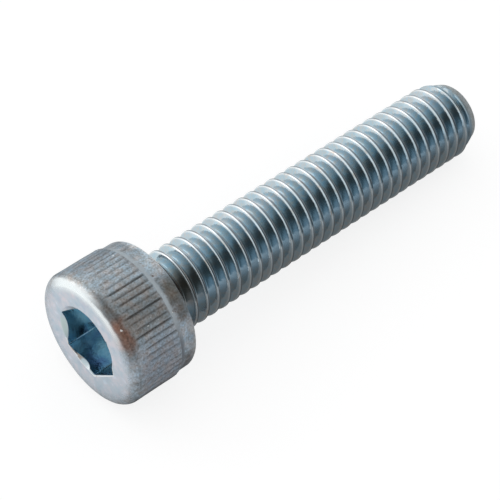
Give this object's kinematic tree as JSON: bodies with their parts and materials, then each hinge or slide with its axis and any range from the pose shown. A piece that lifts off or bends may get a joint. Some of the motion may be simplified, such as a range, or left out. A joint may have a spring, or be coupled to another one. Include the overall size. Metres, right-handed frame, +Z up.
{
  "type": "hex socket cap screw",
  "caption": "Cylinder-head machine screw with a hexagon socket, straight-knurled head over a plain collar, and a metric thread up to the head.",
  "frame": {"origin": "centre of the bounding box, on the surface that the lying screw rests on", "axes": "+X along the screw's length, from the head to the point; +Z up from the surface it lies on; the screw's own axis dips 4.02 degrees below +X towards the point"},
  "size_m": [0.0364, 0.0102, 0.0104],
  "materials": {
    "zinc_plated_steel": "bright blue-white zinc plating"
  },
  "bodies": {
    "root": {"cap_screw": "zinc_plated_steel"}
  },
  "joints": []
}
